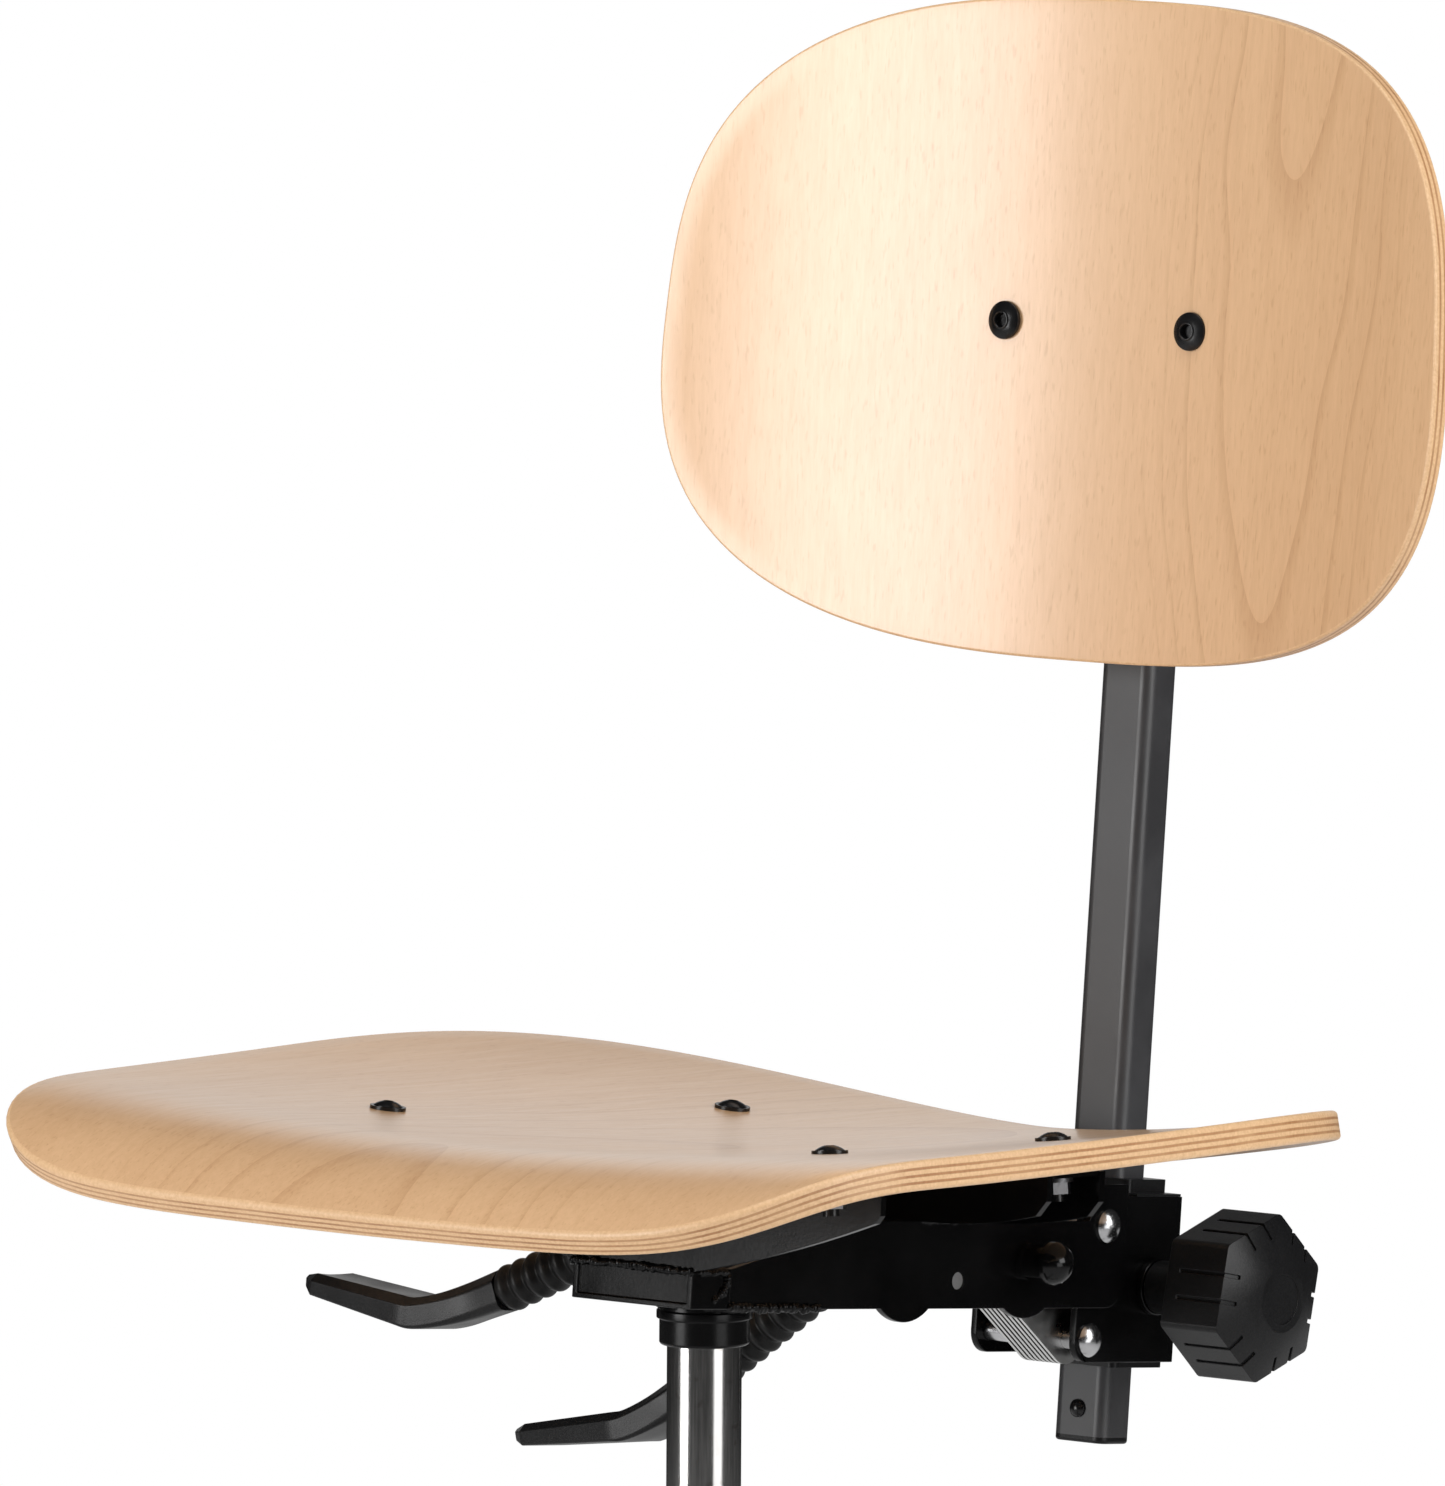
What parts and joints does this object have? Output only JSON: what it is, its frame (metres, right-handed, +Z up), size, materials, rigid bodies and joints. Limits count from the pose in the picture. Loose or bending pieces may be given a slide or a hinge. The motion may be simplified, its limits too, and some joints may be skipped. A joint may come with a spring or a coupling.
{
  "type": "drum throne",
  "caption": "Height-adjustable drum throne with dished plywood seat and backrest, gas column, lever releases and clamp knob",
  "frame": {"origin": "on the floor, on the column axis", "axes": "+Z up along the column; the sitter faces -Y; +X is the sitter's left; seat fully raised at rest"},
  "size_m": [0.6206, 0.6044, 0.9583],
  "materials": {
    "beech_ply": "clear satin lacquer over beech veneer",
    "black_powder": "semi-gloss black paint",
    "black_satin": "satin black powder coat",
    "tube_steel": "bright drawn steel, slightly dark",
    "bright_steel": "ground",
    "leaf_steel": "bright cold-rolled strip",
    "zinc_steel": "bright zinc plating",
    "brass": "turned",
    "black_plastic": "fine moulded texture",
    "gloss_black": "polished",
    "black_rubber": "moulded rubber",
    "black_screw": "black oxide, slightly oily"
  },
  "bodies": {
    "base": {"base_star": "black_powder", "base_glides": "black_plastic", "column_outer_tube": "black_powder", "column_guide_bush": "black_plastic", "thrust_bearing": "bright_steel"},
    "spindle": {"piston_rod": "bright_steel", "piston": "brass", "rod_clip": "zinc_steel", "buffer_ring": "black_rubber"},
    "seat_carrier": {"pressure_tube": "tube_steel", "socket_collar": "black_powder", "socket_box": "black_powder", "frame_plate_left": "black_powder", "frame_plate_right": "black_powder", "spring_pin": "zinc_steel", "pivot_axle": "zinc_steel", "clamp_axle": "bright_steel", "clamp_cap": "gloss_black", "cam_washer": "zinc_steel", "friction_washers": "zinc_steel", "front_seat_wing": "black_powder", "rear_seat_channel": "black_powder", "seat_shell": "beech_ply", "seat_screws": "black_screw", "seat_nuts": "zinc_steel", "gas_lever_bracket": "black_powder", "gas_lever_pin": "zinc_steel"},
    "valve": {"valve_button": "bright_steel"},
    "gas_lever": {"gas_lever_rod": "black_powder", "gas_lever_bellows": "black_rubber", "gas_lever_handle": "black_plastic"},
    "tilt_lever": {"tilt_lever_rod": "black_powder", "tilt_lever_pin": "zinc_steel", "tilt_lever_bellows": "black_rubber", "tilt_lever_handle": "black_plastic"},
    "back_bracket": {"bracket_plate_left": "black_powder", "bracket_plate_right": "black_powder", "lower_axle": "zinc_steel", "bush_top": "black_plastic", "bush_bottom": "black_plastic", "clamp_boss": "black_powder"},
    "leaves": {"friction_leaves": "leaf_steel"},
    "clamp_feed": {"clamp_pad": "brass"},
    "knob": {"clamp_knob": "black_plastic", "clamp_screw": "zinc_steel"},
    "back_post": {"back_bar": "black_satin", "bar_end_cap": "black_plastic", "bar_top_cap": "black_plastic", "stop_screw": "black_screw", "back_carrier": "black_powder", "backrest_shell": "beech_ply", "backrest_bolts": "black_screw", "backrest_nuts": "zinc_steel"}
  },
  "joints": [
    {"name": "swivel", "type": "hinge", "parent": "base", "child": "spindle", "pos_m": [0, 0, 0.05], "axis": [0, 0, 1], "continuous": true},
    {"name": "seat_height", "type": "slide", "parent": "spindle", "child": "seat_carrier", "axis": [0, 0, 1], "range_m": [-0.13, 0]},
    {"name": "gas_lever_lift", "type": "hinge", "parent": "seat_carrier", "child": "gas_lever", "pos_m": [-0.02, 0, 0.50415], "axis": [0, 0.9962, -0.0872], "range_deg": [0, 8], "stiffness_Nm_per_rad": 1.5, "springref_deg": -5.73},
    {"name": "valve_press", "type": "slide", "parent": "seat_carrier", "child": "valve", "axis": [0, 0, -1], "range_m": [0, 0.003]},
    {"name": "tilt_lock", "type": "hinge", "parent": "seat_carrier", "child": "tilt_lever", "pos_m": [-0.039, 0.15474, 0.48509], "axis": [0, 0.9962, -0.0872], "range_deg": [0, 12]},
    {"name": "back_tilt", "type": "hinge", "parent": "seat_carrier", "child": "back_bracket", "pos_m": [0, 0.20291, 0.49413], "axis": [-1, 0, 0], "range_deg": [-5, 15]},
    {"name": "leaf_turn", "type": "hinge", "parent": "back_bracket", "child": "leaves", "pos_m": [0, 0.196, 0.45066], "axis": [1, 0, 0], "range_deg": [-3.2, 9.4]},
    {"name": "back_height", "type": "slide", "parent": "back_bracket", "child": "back_post", "axis": [0, 0.0872, 0.9962], "range_m": [-0.08, 0.013]},
    {"name": "clamp_travel", "type": "slide", "parent": "back_bracket", "child": "clamp_feed", "axis": [1, 0, 0], "range_m": [0, 0.0013]},
    {"name": "knob_turn", "type": "hinge", "parent": "clamp_feed", "child": "knob", "pos_m": [0.054, 0.23514, 0.46782], "axis": [1, 0, 0], "range_deg": [0, 360]}
  ],
  "couplings": [
    {"joint": "valve_press", "follows": "gas_lever_lift", "m_per_rad": 0.0212},
    {"joint": "leaf_turn", "follows": "back_tilt", "ratio": 0.5936},
    {"joint": "clamp_travel", "follows": "knob_turn", "m_per_rad": 0.00019894}
  ]
}
